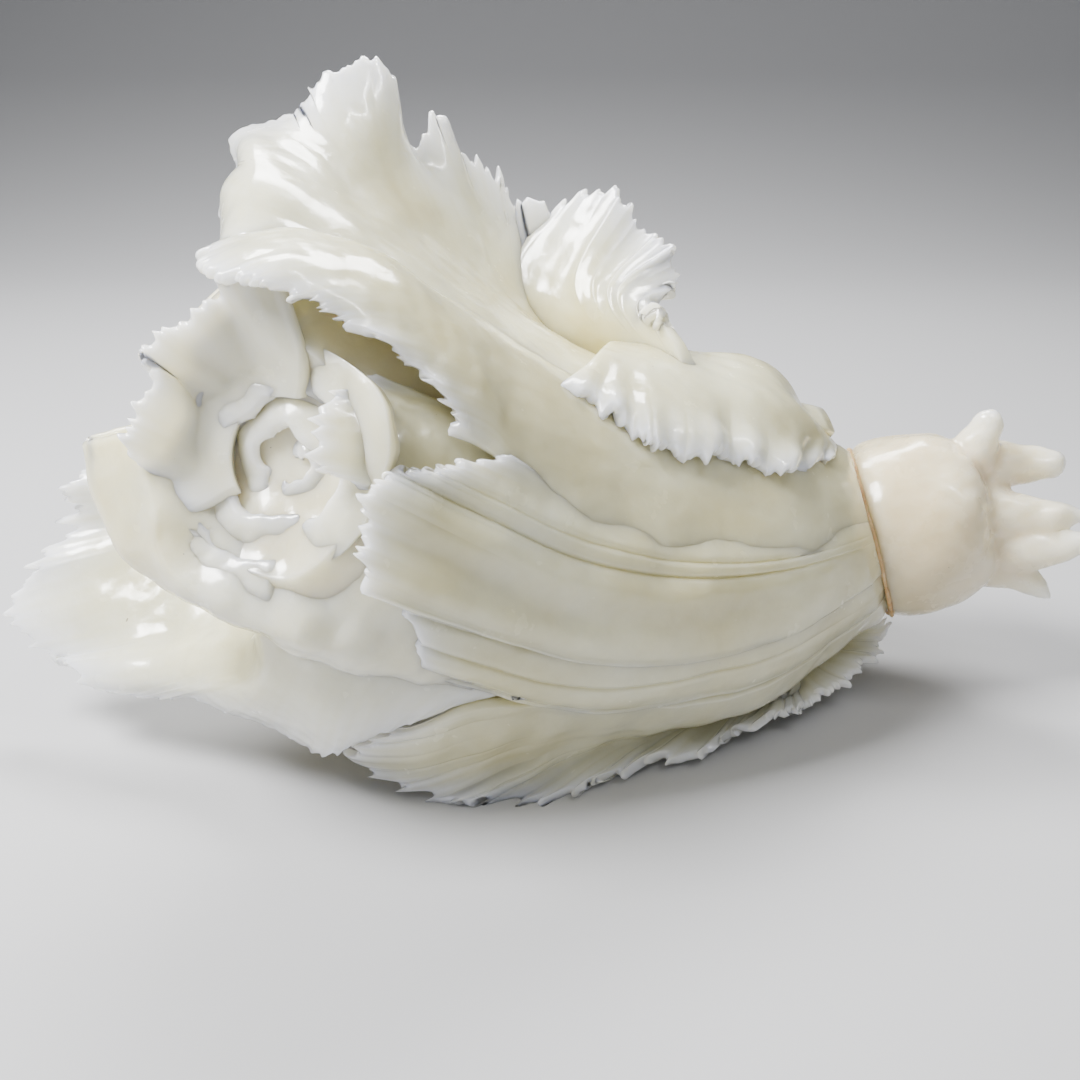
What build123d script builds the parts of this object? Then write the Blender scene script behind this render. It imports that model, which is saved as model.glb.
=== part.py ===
from build123d import *
import math
import os

# Carved jade cabbage lying on its side: heart to the left (-X), root to the right (+X), front towards -Y.
# Millimetres, +Z up, origin on the table under the middle of the object.
#
# The head is described in its own coordinates (x, phi, d):
#   x    station along the head,
#   phi  angle round the head's bent centre line, 0 at the front, 90 on top, 180 at the back,
#   d    height above the plain head surface (negative is under it).

os.makedirs("parts", exist_ok=True)

# Driving dimensions
HEAD_STATIONS = [
    # x, centre y, centre z, radius
    (-100, -27, 61, 30),
    (-62, -27, 61, 31),
    (-45, -24, 62, 33),
    (-35, -21, 59.5, 34.8),
    (-20, -17, 53, 37.5),
    (0, -12, 43.5, 36.5),
    (20, -7, 34.5, 34),
    (40, -2, 30, 31),
    (55, 2, 29.5, 27.5),
    (66, 6, 30, 22.5),
    (74, 9, 31, 19.5),
    (82, 11, 32, 17.5),
    (92, 13, 33.5, 16.5),
]
DATUM = Vector(-12.7, 8.3, 0)  # from the origin to the point that all coordinates below start from
COLLAR_X = 90            # leaf bases run to here before the root joint trims them
CORE_DEPTH = 5           # the core lies this far under the plain head surface
CORE_LEFT = -50          # left end of the core, under the heart leaves
CORE_ROUNDING = 26       # length over which the left end of the core closes
CORE_SECTIONS = 14
CORE_SPACING = 1.6       # bunches the sections towards the left end
FOOT_TAPER = 25          # slope of the foot under the belly, degrees
REST_CENTRE = (30, -4)   # flat that is ground under the belly
REST_SIZE = (36, 17)
REST_HEIGHT = 12

HEART_CENTRE = Vector(-29, -44, 66)
HEART_AXIS = Vector(-0.35, -0.87, 0.35).normalized()
HEART_DISH_RADIUS = 26   # hollow that the heart leaves stand in
HEART_DISH_DEPTH = 9

ROOT_CENTRE = Vector(77, 9, 31)
ROOT_AXIS = Vector(0.937, -0.13, 0.32).normalized()
ROOT_PROFILE = [
    # along the axis, radius
    (0, 17), (2, 18.2), (6, 18.8), (12, 18.2), (19, 16), (25, 12.5), (29, 7),
]
ROOTLETS = [
    # base, tip, base radius, tip radius
    ((97, 8, 46), (97, 6, 57), 5, 1.6),
    ((97, 10, 44), (113, 8, 46.5), 5, 2),
    ((96, 3, 38), (116.5, 0, 38.5), 5.5, 0.6),
    ((96, 2, 30), (115.5, -4, 34.5), 5, 1.3),
    ((95, 4, 27), (111, -2, 22.5), 5, 0.8),
]
GLUE_THICKNESS = 0.4
GLUE_RADIUS = 16.6

SOUND_SHARE = 0.55       # a trimmed leaf keeps at least this much of its volume
TRIM_REACH = 400         # larger than the object
LEAF_COLUMNS = 15        # surface points across a leaf
LEAF_ROWS = 11           # surface points from base to rim
SURFACE_TOLERANCE = 0.02


def hermite(knots, values, query):
    """Smooth curve through the values at the knots, straight beyond both ends."""
    last = len(knots) - 1
    slopes = [(values[i + 1] - values[i]) / (knots[i + 1] - knots[i]) for i in range(last)]
    tangents = [slopes[0]]
    for i in range(1, last):
        before, after = knots[i] - knots[i - 1], knots[i + 1] - knots[i]
        tangents.append((slopes[i - 1] * after + slopes[i] * before) / (before + after))
    tangents.append(slopes[-1])
    if query <= knots[0]:
        return values[0] + tangents[0] * (query - knots[0])
    if query >= knots[-1]:
        return values[-1] + tangents[-1] * (query - knots[-1])
    i = max(k for k in range(last) if knots[k] <= query)
    width = knots[i + 1] - knots[i]
    t = (query - knots[i]) / width
    return (
        (2 * t**3 - 3 * t**2 + 1) * values[i]
        + (t**3 - 2 * t**2 + t) * width * tangents[i]
        + (3 * t**2 - 2 * t**3) * values[i + 1]
        + (t**3 - t**2) * width * tangents[i + 1]
    )


def station(x, column):
    return hermite([s[0] for s in HEAD_STATIONS], [s[column] for s in HEAD_STATIONS], x)


def head_point(x, phi, d):
    """Head coordinates to a point in space."""
    angle, r = math.radians(phi), station(x, 3) + d
    return Vector(x, station(x, 1) - r * math.cos(angle), station(x, 2) + r * math.sin(angle))


def at(x, y, z):
    """A point in space to head coordinates."""
    dy, dz = y - station(x, 1), z - station(x, 2)
    return (x, math.degrees(math.atan2(dz, -dy)), math.hypot(dy, dz) - station(x, 3))


def in_space(*points):
    return [at(*p) for p in points]


def collar(phi_start, phi_end, d, count=3, x=COLLAR_X):
    """Base of a leaf: an arc round the head where it meets the root."""
    step = (phi_end - phi_start) / (count - 1)
    return [(x, phi_start + step * i, d) for i in range(count)]


def heart_point(theta, rho, height, shift=(0, 0)):
    """Polar coordinates round the heart's axis to a point in space: theta 0 is right, 90 is up."""
    across = (Vector(1, 0, 0) - HEART_AXIS * HEART_AXIS.X).normalized()
    upward = HEART_AXIS.cross(across)
    angle = math.radians(theta)
    point = HEART_CENTRE + HEART_AXIS * height
    point += across * (shift[0] + rho * math.cos(angle)) + upward * (shift[1] + rho * math.sin(angle))
    return tuple(point)


def curl(theta_start, theta_end, rho, height, lip=2.5, shift=(0, 0), depth=9, count=6):
    """Rows of a small heart leaf that stands in an arc and rolls its lip outwards."""
    step = (theta_end - theta_start) / (count - 1)
    thetas = [theta_start + step * i for i in range(count)]
    profile = [
        (0.72 * rho, height - depth),
        (0.9 * rho, height - 0.4 * depth),
        (rho, height),
        (rho + lip, height - 0.8),
    ]
    return [[heart_point(theta, radius, level, shift) for theta in thetas] for radius, level in profile]


# Each leaf: rows of head coordinates from its base to its rim, thickness at base and rim,
# and the side that the thickness goes to: -1 into the head, 1 away from it.
LEAVES = {
    "front_leaf": dict(thick=(5, 1.8), side=-1, rows=[
        collar(-2, 34, 1),
        [(50, -6, 2), (50, 10, 2), (50, 28, 2)],
        [(18, -8, 2), (17, 4, 2.2), (18, 16, 2.5), (20, 30, 2.5)],
        [(-15.5, -3, 2), (-15, 6, 2), (-14.5, 13, 2.3), (-14.5, 20, 2.5), (-11, 25.5, 3), (-5, 29.5, 3),
         (0, 34, 3), (5, 39, 2.5)],
    ]),
    "front_under_leaf": dict(thick=(5, 2), side=-1, rows=[
        collar(-30, 2, 0),
        [(45, -26, 1), (45, -12, 1.2), (45, 2, 1)],
        [(15, -30, 1), (14, -16, 1.6), (15, 0, 1)],
        [(-9.5, -26, 0.5), (-8.5, -17, 1.5), (-9, -8, 1.5), (-13, 0, 0.5)],
    ]),
    "lower_front_leaf": dict(thick=(4, 1.6), side=-1, rows=[
        collar(-70, -24, 0.5, 4),
        [(64, -68, 0), (58, -56, 1), (53, -42, 1.5), (48, -26, 1)],
        [(54, -64, 0), (36, -58, 0), (18, -46, 2), (6, -28, 1.5)],
        in_space((47, -21, 4), (38, -29, 3.5), (29, -31, 3), (20, -35, 2.5), (13, -39, 1.5), (2, -40, 0.6),
                 (-6, -40, 0.6), (-17, -36, 1), (-27, -27, 3), (-24, -38, 9), (-14, -42, 17)),
    ]),
    "lower_right_leaf": dict(thick=(3, 1.5), side=-1, rows=[
        collar(-112, -55, 0, 4, x=80),
        [(70, -108, 1), (68, -92, 1), (64, -78, 1), (60, -66, 1)],
        in_space((83, 11, 15), (83, 5, 11), (76, -4, 8), (66, -12, 6), (56, -18, 5.5), (46, -22, 5.5)),
    ]),
    "lower_left_leaf": dict(thick=(2, 1.8), side=1, rows=[
        [(24, -150, -3), (24, -120, -3), (20, -90, -2), (14, -60, -2)],
        [(-18, -160, -2), (-18, -130, -1), (-16, -98, 1), (-8, -64, 2)],
        [(-50, -158, -2), (-54, -128, 2), (-44, -96, 5), (-20, -66, 7)],
        in_space((-74, 4, 49), (-79, -1, 46), (-82, -3, 37), (-88, -5, 29), (-92, -9, 22), (-87, -13, 17),
                 (-79, -17, 16), (-72, -20, 12), (-60, -24, 11.5), (-46, -27, 12.5), (-38, -30, 10),
                 (-27, -33, 6.5), (-14, -36, 8)),
    ]),
    "upper_wrap_leaf": dict(thick=(4, 2), side=-1, rows=[
        collar(24, 92, -0.5, 4),
        [(45, 28, 0), (45, 44, 0.5), (44, 60, 1), (43, 80, 0)],
        [(12, 34, 0), (10, 52, 2.5), (8, 68, 3), (7, 86, 0)],
        [(-2, 40, 1.5), (-7, 49, 5), (-13, 60, 7), (-22, 74, 6), (-30, 92, 2)],
        [(-3, 41, 1), (-1.7, 45, 3), (-7, 48.5, 4), (-13, 53, 4.5), (-19, 51.5, 4.5), (-24, 55.5, 4.5),
         (-30.6, 56, 4.5), (-38, 62, 1.5), at(-41, -29, 93), (-36, 94, -1)],
    ]),
    "tall_back_leaf": dict(thick=(4, 1.8), side=1, rows=[
        [(64, 92, 1), (64, 104, 0), (64, 118, -1), (64, 132, -2)],
        [(24, 84, -1), (26, 100, -2), (28, 116, -1), (28, 134, 0)],
        [(-8, 92, 0), (-4, 108, 0), (2, 124, 4), (8, 136, 8)],
        [(-36, 96, 4), (-24, 116, 12), (-12, 124, 18), (-2, 130, 22), (5, 134, 26)],
        in_space((-41, -6, 84), (-44, 2, 89), (-45, 5, 95), (-41, 8, 100), (-43, 11, 106), (-38, 14, 108),
                 (-33, 17, 110), (-31, 18, 113), (-26, 20, 117), (-18, 22, 117), (-17, 24, 109),
                 (-13, 26, 103), (-9, 29, 108), (-5, 30, 105), (-1, 31, 102), (3, 33, 95), (5, 34, 87)),
    ]),
    "small_back_leaf": dict(thick=(2.5, 1.6), side=1, rows=[
        [(40, 106, -2), (38, 120, -1)],
        [(22, 110, 2), (22, 128, 6)],
        [(11, 118, 22), (12, 134, 26)],
        in_space((4, 33, 89), (6, 33, 92), (9, 32, 94), (12, 32, 92), (14, 32, 88)),
    ]),
    "curled_back_leaf": dict(thick=(3, 1.8), side=1, rows=[
        [(50, 82, -1), (42, 104, -1), (26, 130, -1)],
        [(39, 82, 4), (29, 104, 5), (8, 132, 9)],
        [(31, 88, 14), (21, 110, 15), (3, 131, 22)],
        in_space((28, 9, 72), (32, 12, 75), (35, 13, 79), (37, 15, 80), (36, 18, 85), (33, 21, 89),
                 (29, 24, 91), (25, 26, 96), (21, 27, 96), (18, 29, 95), (13, 31, 91), (9, 32, 86)),
    ]),
    "shoulder_leaf": dict(thick=(5, 2.5), side=-1, rows=[
        [(20, 150, -2), (40, 150, -2), (60, 150, -2), (70, 150, -2)],
        [(24, 122, 6), (39, 114, 8), (51, 107, 9.5), (58, 103, 7), (65, 100, -1), (71, 95, -3)],
        [(20, 86, 5), (38, 84, 8), (54, 78, 6.5), (70, 84, -1)],
        [(13.5, 66, 3), (27, 55, 4), (34, 51, 4.5), (41, 53, 4), (47.5, 52.5, 3.5), (51, 49, 3.5),
         (56.5, 53, 2.5), (66, 66, 0)],
    ]),
    "mid_leaf": dict(thick=(3, 1.6), side=-1, rows=[
        [(8, 24, -2), (8, 36, -2), (8, 50, -2)],
        [(-4, 20, -1.5), (-4, 34, -1.5), (-4, 50, -1.5)],
        [(-14, 20, -1.5), (-21, 22, -1), (-21.5, 30, -1), (-21, 37, -1.5), (-14, 50, -2)],
    ]),
    "upper_back_leaf": dict(thick=(5, 2), side=-1, rows=[
        collar(128, 185, 0),
        [(45, 128, 0), (45, 156, 1), (45, 184, 1)],
        [(5, 138, 0), (5, 160, 2), (5, 184, 2)],
        [(-30, 132, 8), (-40, 150, 9), (-44, 168, 9), (-38, 186, 7)],
    ]),
    "middle_back_leaf": dict(thick=(4, 2), side=-1, rows=[
        collar(172, 228, -1),
        [(42, 176, -1), (42, 202, 0), (42, 228, 0)],
        [(0, 180, -1), (-2, 205, 1), (0, 232, 1)],
        [(-36, 182, 4), (-50, 198, 6), (-50, 214, 5), (-34, 234, 5)],
    ]),
    "lower_back_leaf": dict(thick=(4, 1.8), side=-1, rows=[
        collar(215, 248, 0),
        [(50, 218, 1), (50, 234, 0), (52, 248, -1)],
        [(10, 222, 2), (14, 238, 1), (26, 248, -1)],
        in_space((-24, 26, 14), (-14, 31, 6), (-2, 34, 3), (10, 34, 2.5), (24, 33, 2.5), (38, 29, 3.5),
                 (52, 21, 5), (60, 14, 8)),
    ]),
}

# The heart leaves sit where the head closes, so their rows are points in space.
HEART_LEAVES = {
    "heart_bowl_leaf": dict(thick=(2.5, 2), rows=[
        [(-50, -16, 70), (-48, -14, 52), (-42, -18, 38), (-32, -24, 28), (-18, -28, 20), (-2, -30, 14)],
        [(-60, -31, 67), (-58, -37, 57), (-53, -39, 48), (-42, -45, 41), (-27, -49, 37), (-9, -46, 28)],
        [(-54, -41, 70), (-49, -46, 59), (-47, -45, 51), (-38, -48, 45), (-26, -52, 43), (-12, -50, 38)],
        [(-46, -41, 69), (-43, -42, 60), (-40, -42, 54), (-34, -44, 50), (-24, -47, 48), (-12, -46, 44)],
    ]),
    "heart_upper_leaf": dict(thick=(3, 1.8), rows=[
        [heart_point(theta, 11, -5) for theta in (200, 180, 158, 136, 112, 90, 70)],
        [heart_point(theta, 17.5, -1.5) for theta in (198, 178, 157, 136, 113, 92, 72)],
        [(-51, -41.5, 65), (-52.5, -41, 69), (-50, -41.5, 74), (-47.5, -41, 78), (-49.5, -37, 81.5),
         (-44, -38, 85), (-39.5, -37, 88), (-36, -35, 91), (-28, -34, 92)],
    ]),
    "heart_left_leaf": dict(thick=(1.8, 1.5), rows=curl(98, 232, 17, 0, depth=5)),
    "heart_ring_leaf": dict(thick=(1.8, 1.5), rows=curl(68, 290, 11.5, -0.5, lip=3.5, count=8)),
    "heart_right_leaf": dict(thick=(1.8, 1.5), rows=curl(-75, 75, 9.5, -3, shift=(1.5, 0))),
    "heart_inner_leaf": dict(thick=(1.5, 1.2), rows=curl(15, 220, 6.5, -1.5, shift=(0, 1))),
    "heart_bud": dict(thick=(1.5, 1.2), rows=curl(-180, 50, 4, -1.5, lip=1, shift=(0, -1))),
}


def unwrapped(rows):
    """The same rows with phi running on smoothly instead of jumping by a full turn."""
    done, reference = [], rows[0][0][1]
    for row in rows:
        new_row = []
        for x, phi, d in row:
            phi -= 360 * round((phi - reference) / 360)
            new_row.append((x, phi, d))
            reference = phi
        done.append(new_row)
        reference = new_row[0][1]
    return done


def picked(rows, across, along):
    """Value of a grid of rows: across runs along the rim, along runs from base to rim."""
    values = []
    for row in rows:
        knots = [i / (len(row) - 1) for i in range(len(row))]
        values.append([hermite(knots, [p[k] for p in row], across) for k in range(3)])
    knots = [i / (len(rows) - 1) for i in range(len(rows))]
    return [hermite(knots, [p[k] for p in values], along) for k in range(3)]


def leaf_solid(surface, thick, inward):
    """Closed leaf: a smooth visible face, a second face behind it and four narrow sides."""
    front, back = [], []
    step = 0.01
    for j in range(LEAF_ROWS):
        along = j / (LEAF_ROWS - 1)
        front_row, back_row = [], []
        for i in range(LEAF_COLUMNS):
            across = i / (LEAF_COLUMNS - 1)
            point = surface(across, along)
            tangent_a = surface(across + step, along) - surface(across - step, along)
            tangent_b = surface(across, along + step) - surface(across, along - step)
            normal = tangent_a.cross(tangent_b).normalized() * inward
            front_row.append(point)
            back_row.append(point + normal * (thick[0] + (thick[1] - thick[0]) * along))
        front.append(front_row)
        back.append(back_row)
    faces = [Face.make_surface_from_array_of_points(grid, tol=SURFACE_TOLERANCE) for grid in (front, back)]
    front_edges, back_edges = (border(face, grid) for face, grid in zip(faces, (front, back)))
    sides = [Face.make_surface_from_curves(a, b) for a, b in zip(front_edges, back_edges)]
    solid = Solid(Shell(faces + sides))
    return solid if solid.volume > 0 else Solid(solid.wrapped.Reversed())


def border(face, grid):
    """The four boundary edges of a leaf face in a fixed order: base, rim, first side, last side."""
    targets = [
        grid[0][LEAF_COLUMNS // 2],
        grid[-1][LEAF_COLUMNS // 2],
        grid[LEAF_ROWS // 2][0],
        grid[LEAF_ROWS // 2][-1],
    ]
    return [min(face.edges(), key=lambda edge: edge.distance_to(target)) for target in targets]


def facing(surface, towards):
    """1 when the surface's own normal at its middle looks towards the point, otherwise -1."""
    step, middle = 0.01, surface(0.5, 0.25)
    tangent_a = surface(0.5 + step, 0.25) - surface(0.5 - step, 0.25)
    tangent_b = surface(0.5, 0.25 + step) - surface(0.5, 0.25 - step)
    return 1 if tangent_a.cross(tangent_b).dot(towards - middle) > 0 else -1


def outer_leaf(rows, thick, side):
    rows = unwrapped(rows)

    def surface(across, along):
        return head_point(*picked(rows, across, along))

    middle = surface(0.5, 0.25)
    centre = Vector(middle.X, station(middle.X, 1), station(middle.X, 2))
    return leaf_solid(surface, thick, -side * facing(surface, centre))


def heart_leaf(rows, thick):
    def surface(across, along):
        return Vector(*picked(rows, across, along))

    return leaf_solid(surface, thick, facing(surface, HEART_CENTRE - HEART_AXIS * HEART_DISH_DEPTH))


def root_plane(distance=0.0):
    return Plane(origin=ROOT_CENTRE + ROOT_AXIS * distance, z_dir=ROOT_AXIS)


def trimmed(solid):
    """The head's nodes end at the root joint and at the table."""
    beyond = root_plane() * Pos(0, 0, TRIM_REACH / 2) * Box(TRIM_REACH, TRIM_REACH, TRIM_REACH)
    solid = largest(solid - beyond)
    if solid.bounding_box().min.Z < -SURFACE_TOLERANCE:
        solid = largest(solid.split(Plane.XY, keep=Keep.TOP))
    return solid


def head_core():
    """Solid middle of the head, with the heart's dish in its left end and the ground flat under it."""
    sections = []
    for i in range(CORE_SECTIONS):
        x = CORE_LEFT + (COLLAR_X - CORE_LEFT) * (i / (CORE_SECTIONS - 1)) ** CORE_SPACING
        closing = min(1, (x - CORE_LEFT + 1) / CORE_ROUNDING)
        radius = (station(x, 3) - CORE_DEPTH) * math.sqrt(1 - (1 - closing) ** 2)
        plane = Plane(origin=(x, station(x, 1), station(x, 2)), x_dir=(0, 1, 0), z_dir=(1, 0, 0))
        sections.append(plane * Circle(radius))
    flat = Ellipse(REST_SIZE[0] / 2, REST_SIZE[1] / 2)
    foot = Pos(*REST_CENTRE) * extrude(flat, REST_HEIGHT, taper=-FOOT_TAPER)
    dish_centre = HEART_CENTRE + HEART_AXIS * (HEART_DISH_RADIUS - HEART_DISH_DEPTH)
    dish = Pos(*dish_centre) * Sphere(HEART_DISH_RADIUS)
    return loft(sections) + foot - dish


def root_stump():
    """Round stump with five rootlets at its far end."""
    curve = Spline([Vector(radius, 0, along) for along, radius in ROOT_PROFILE])
    start, end = Vector(0, 0, 0), Vector(0, 0, ROOT_PROFILE[-1][0])
    outline = make_face([curve, Line(curve @ 1, end), Line(end, start), Line(start, curve @ 0)])
    body = root_plane(GLUE_THICKNESS) * revolve(outline, Axis.Z)
    for base, tip, base_radius, tip_radius in ROOTLETS:
        along = Vector(*tip) - Vector(*base)
        plane = Plane(origin=base, z_dir=along)
        body += plane * Pos(0, 0, along.length / 2) * Cone(base_radius, tip_radius, along.length)
        body += Pos(*tip) * Sphere(tip_radius)
    return body


def glue_line():
    """Thin film of adhesive between the head and the root."""
    return root_plane(GLUE_THICKNESS / 2) * Cylinder(GLUE_RADIUS, GLUE_THICKNESS)


def largest(shape):
    return max(shape.solids(), key=lambda solid: solid.volume)


def apart(first, second):
    """True when the boxes of two solids don't meet."""
    a, b = first.bounding_box(), second.bounding_box()
    return any(
        getattr(a.min, axis) > getattr(b.max, axis) or getattr(b.min, axis) > getattr(a.max, axis)
        for axis in "XYZ"
    )


def carved(solid, neighbours):
    """A leaf less the nodes that it grows out of. A cut that gives no sound leaf is left out."""
    for other in neighbours:
        if apart(solid, other):
            continue
        rest = solid - other
        pieces = rest.solids() if rest else []
        if not pieces:
            continue
        kept = largest(rest)
        if kept.is_valid and SOUND_SHARE * solid.volume < kept.volume < solid.volume:
            solid = kept
    return solid


def main():
    nodes = {"head_core": trimmed(head_core())}
    leaves = {name: outer_leaf(**spec) for name, spec in LEAVES.items()}
    leaves.update({name: heart_leaf(**spec) for name, spec in HEART_LEAVES.items()})
    for name, leaf in leaves.items():
        nodes[name] = carved(trimmed(leaf), nodes.values())
    nodes["root_stump"] = root_stump()
    nodes["glue_line"] = glue_line()
    for name, solid in nodes.items():
        export_step(Location(DATUM) * solid, f"parts/{name}.step")


if __name__ == "__main__":
    main()
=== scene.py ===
import math

import bmesh
import bpy
import numpy as np
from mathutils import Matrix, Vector


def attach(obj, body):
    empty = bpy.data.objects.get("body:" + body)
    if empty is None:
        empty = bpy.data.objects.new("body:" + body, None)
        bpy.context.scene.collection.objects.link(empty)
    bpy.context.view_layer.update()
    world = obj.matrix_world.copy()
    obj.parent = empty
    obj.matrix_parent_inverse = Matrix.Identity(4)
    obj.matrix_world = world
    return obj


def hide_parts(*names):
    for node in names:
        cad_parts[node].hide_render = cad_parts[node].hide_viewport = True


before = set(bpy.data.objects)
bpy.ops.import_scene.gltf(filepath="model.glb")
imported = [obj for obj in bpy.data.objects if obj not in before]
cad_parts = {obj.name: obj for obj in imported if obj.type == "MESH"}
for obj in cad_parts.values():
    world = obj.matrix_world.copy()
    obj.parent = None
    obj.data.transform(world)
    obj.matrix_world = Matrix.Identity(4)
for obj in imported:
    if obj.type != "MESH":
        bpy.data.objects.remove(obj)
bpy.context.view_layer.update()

# Carved jade cabbage lying on its side. Lengths are in millimetres and are turned into metres as
# each mesh is made. The head is described as in the CAD: x along it, phi round its bent centre line
# (0 at the front, 90 on top, 180 at the back) and d, the height above the plain head surface.

MM = 0.001


def unit(vector):
    """The vector at length one."""
    return np.array(vector) / np.linalg.norm(vector)


HEAD_STATIONS = np.array([
    # x, centre y, centre z, radius
    (-100, -27, 61, 30),
    (-62, -27, 61, 31),
    (-45, -24, 62, 33),
    (-35, -21, 59.5, 34.8),
    (-20, -17, 53, 37.5),
    (0, -12, 43.5, 36.5),
    (20, -7, 34.5, 34),
    (40, -2, 30, 31),
    (55, 2, 29.5, 27.5),
    (66, 6, 30, 22.5),
    (74, 9, 31, 19.5),
    (82, 11, 32, 17.5),
    (92, 13, 33.5, 16.5),
], float)
CENTRE_Y, CENTRE_Z, RADIUS = 1, 2, 3         # columns of the stations
DATUM = np.array([-12.7, 8.3, 0.0])          # where the head's own origin lies in the shared frame
COLLAR_X = 90                                # where most leaves start, inside the root joint

HEART_CENTRE = np.array([-29.0, -44.0, 66.0])
HEART_AXIS = unit([-0.35, -0.87, 0.35])
ROOT_CENTRE = np.array([77.0, 9.0, 31.0])
ROOT_AXIS = unit([0.937, -0.13, 0.32])
SEAM_DEPTH = 3.5                             # how far from the root joint the head starts to round over
SEAM_ROUNDING = 0.1                          # share of its radius that it loses at the joint
GLUE_THICKNESS = 0.4
GLUE_RADIUS = 16.6


# ---------------------------------------------------------------- curves and surfaces

def cubic(t, width, start, end, start_slope, end_slope):
    """Cubic curve over one interval, from the values and slopes at its ends; t runs from 0 to 1."""
    return (
        (2 * t**3 - 3 * t**2 + 1) * start
        + (t**3 - 2 * t**2 + t) * width * start_slope
        + (3 * t**2 - 2 * t**3) * end
        + (t**3 - t**2) * width * end_slope
    )


def interval(knots, query):
    """Which interval between the knots each queried place lies in."""
    return np.clip(np.searchsorted(knots, query, side="right") - 1, 0, len(knots) - 2)


def hermite(knots, values, query):
    """Smooth curve through the values at the knots, straight beyond both ends."""
    knots, values, query = np.asarray(knots, float), np.asarray(values, float), np.asarray(query, float)
    widths = np.diff(knots).reshape((-1,) + (1,) * (values.ndim - 1))
    slopes = np.diff(values, axis=0) / widths
    tangents = np.empty_like(values)
    tangents[0], tangents[-1] = slopes[0], slopes[-1]
    tangents[1:-1] = (slopes[:-1] * widths[1:] + slopes[1:] * widths[:-1]) / (widths[1:] + widths[:-1])
    i = interval(knots, query)
    shape = query.shape + (1,) * (values.ndim - 1)
    w = (knots[i + 1] - knots[i]).reshape(shape)
    t = ((query - knots[i]) / (knots[i + 1] - knots[i])).reshape(shape)
    inside = cubic(t, w, values[i], values[i + 1], tangents[i], tangents[i + 1])
    before = values[i] + tangents[i] * t * w
    after = values[i + 1] + tangents[i + 1] * (t - 1) * w
    return np.where(t < 0, before, np.where(t > 1, after, inside))


def station(x, column):
    """One column of the head's stations, at any x."""
    return hermite(HEAD_STATIONS[:, 0], HEAD_STATIONS[:, column], x)


def centre_line(x):
    """Points on the head's bent centre line."""
    return np.stack([x, station(x, CENTRE_Y), station(x, CENTRE_Z)], -1)


def head_point(x, phi, d):
    """Head coordinates to points in space."""
    angle, r = np.radians(phi), station(x, RADIUS) + d
    y = station(x, CENTRE_Y) - r * np.cos(angle)
    z = station(x, CENTRE_Z) + r * np.sin(angle)
    return np.stack([x, y, z], -1)


def at(x, y, z):
    """A point in space to head coordinates."""
    dy, dz = y - float(station(x, CENTRE_Y)), z - float(station(x, CENTRE_Z))
    return (x, math.degrees(math.atan2(dz, -dy)), math.hypot(dy, dz) - float(station(x, RADIUS)))


def in_space(*points):
    """A row of a leaf given as points in space."""
    return [at(*p) for p in points]


def collar(phi_start, phi_end, d, count=3, x=COLLAR_X):
    """Base of a leaf: an arc round the head where it meets the root."""
    step = (phi_end - phi_start) / (count - 1)
    return [(x, phi_start + step * i, d) for i in range(count)]


def unwrapped(rows):
    """The same rows with phi running on smoothly instead of jumping by a full turn."""
    done, reference = [], rows[0][0][1]
    for row in rows:
        new_row = []
        for x, phi, d in row:
            phi -= 360 * round((phi - reference) / 360)
            new_row.append((x, phi, d))
            reference = phi
        done.append(new_row)
        reference = new_row[0][1]
    return done


def picked(rows, across, along):
    """Values of a net of rows at arrays of across (run along the rim) and along (base to rim)."""
    flat_across, flat_along = across.ravel(), along.ravel()
    values = np.stack([
        hermite(np.linspace(0, 1, len(row)), np.array(row, float), flat_across) for row in rows
    ])
    knots = np.linspace(0, 1, len(rows))
    w = knots[1] - knots[0]
    slopes = np.diff(values, axis=0) / w
    tangents = np.empty_like(values)
    tangents[0], tangents[-1] = slopes[0], slopes[-1]
    tangents[1:-1] = (slopes[:-1] + slopes[1:]) / 2
    i = interval(knots, flat_along)
    columns = np.arange(len(flat_along))
    t = ((flat_along - knots[i]) / w)[:, None]
    start, end = values[i, columns], values[i + 1, columns]
    start_slope, end_slope = tangents[i, columns], tangents[i + 1, columns]
    inside = cubic(t, w, start, end, start_slope, end_slope)
    after = end + end_slope * (t - 1) * w
    return np.where(t > 1, after, inside).reshape(across.shape + (3,))


def smooth(a, b, x):
    """Rises smoothly from 0 at a to 1 at b."""
    t = np.clip((x - a) / (b - a), 0, 1)
    return t * t * (3 - 2 * t)


def waves(rng, count, short, long):
    """A random smooth function of one variable, made of sines between two wavelengths."""
    lengths = rng.uniform(short, long, count)
    phases = rng.uniform(0, 2 * math.pi, count)
    return lambda x: sum(np.sin(2 * math.pi * x / w + q) for w, q in zip(lengths, phases)) / math.sqrt(count)


def wobble(rng, points, short, long, count=10):
    """Random smooth unevenness in space, about -1 to 1, made of plane waves."""
    total = np.zeros(points.shape[:-1])
    for _ in range(count):
        direction = rng.normal(size=3)
        direction /= np.linalg.norm(direction)
        total += np.sin(2 * math.pi * points @ direction / rng.uniform(short, long) + rng.uniform(0, 6.3))
    return total / math.sqrt(count)


def grid_normals(points):
    """Unit normals of a net of points."""
    du, dv = np.gradient(points, axis=0), np.gradient(points, axis=1)
    normals = np.cross(du, dv)
    return normals / (np.linalg.norm(normals, axis=-1, keepdims=True) + 1e-12)


def axis_frame(axis):
    """Two unit directions at right angles to an axis and to each other."""
    side = np.cross(axis, [0, 0, 1.0])
    side /= np.linalg.norm(side)
    return side, np.cross(side, axis)


# ---------------------------------------------------------------- rims

def spaced(rng, length, spacing):
    """Random places along a rim, between the least and the most spacing."""
    marks, here = [], rng.uniform(0, spacing[0])
    while here < length:
        marks.append(here)
        here += rng.uniform(*spacing)
    return np.array(marks)


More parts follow.
